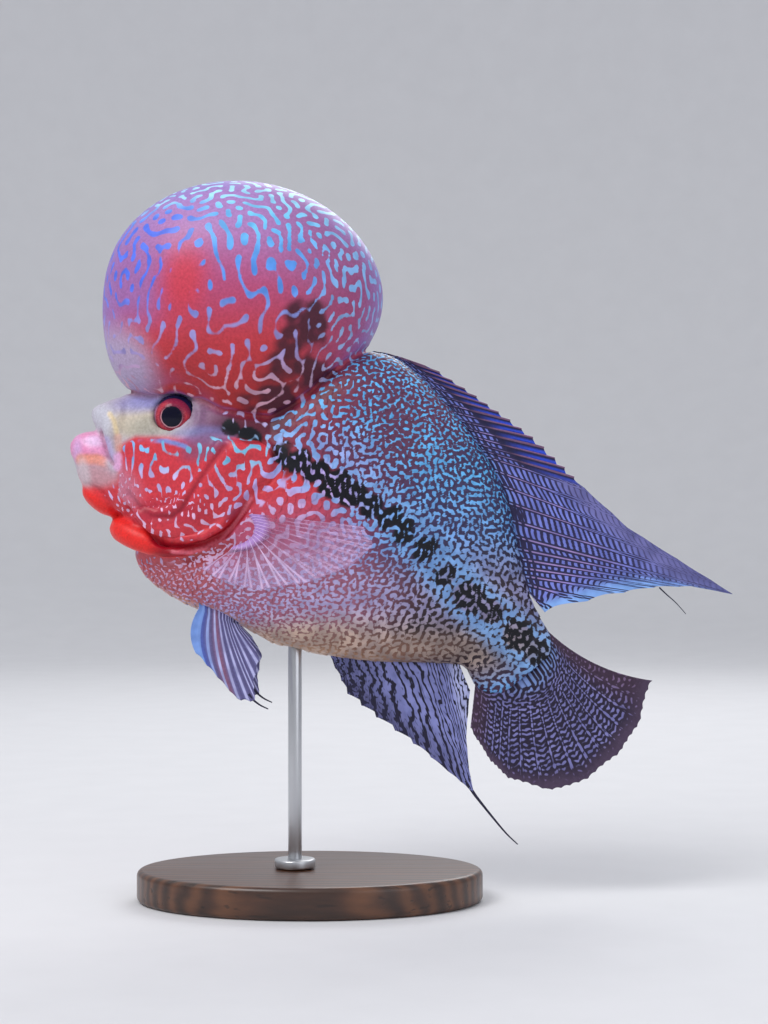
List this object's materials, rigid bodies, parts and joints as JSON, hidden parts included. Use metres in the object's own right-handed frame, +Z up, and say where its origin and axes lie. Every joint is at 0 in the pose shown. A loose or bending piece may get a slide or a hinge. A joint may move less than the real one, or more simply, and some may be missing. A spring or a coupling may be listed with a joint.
{
  "type": "flowerhorn cichlid display model",
  "caption": "Life-size flowerhorn cichlid swimming nose-up, with a large forehead hump and trailing fins, held by a slim rod on a flat oval display base.",
  "frame": {"origin": "centre of the display base's underside, on the surface it stands on", "axes": "+Z up; the fish faces -X with its nose raised, and its left side faces -Y"},
  "size_m": [0.2922, 0.108, 0.3162],
  "materials": {
    "smooth_skin": "wet satin, scarlet with sky-blue worm lines, and pink lips",
    "scaled_skin": "wet satin scales, blue pearls over maroon and slate",
    "eye": "clear and wet, dark pupil in a red iris",
    "fin_membrane": "thin membrane, violet-grey with dark bars",
    "pectoral_membrane": "thin clear membrane with pale rays",
    "stand_wood": "dark walnut, satin varnish",
    "stand_steel": "brushed"
  },
  "bodies": {
    "root": {"kok": "smooth_skin", "head": "smooth_skin", "gill_cover_left": "smooth_skin", "gill_cover_right": "smooth_skin", "upper_jaw": "smooth_skin", "lower_jaw": "smooth_skin", "chin_pad": "smooth_skin", "gill_roll": "smooth_skin", "trunk": "scaled_skin", "tail_stalk": "scaled_skin", "eye_left": "eye", "eye_right": "eye", "dorsal_fin": "fin_membrane", "caudal_fin": "fin_membrane", "anal_fin": "fin_membrane", "pelvic_fin_left": "fin_membrane", "pelvic_fin_right": "fin_membrane", "pectoral_fin_left": "pectoral_membrane", "pectoral_fin_right": "pectoral_membrane", "stand_base": "stand_wood", "stand_rod": "stand_steel", "stand_collar": "stand_steel"}
  },
  "joints": []
}
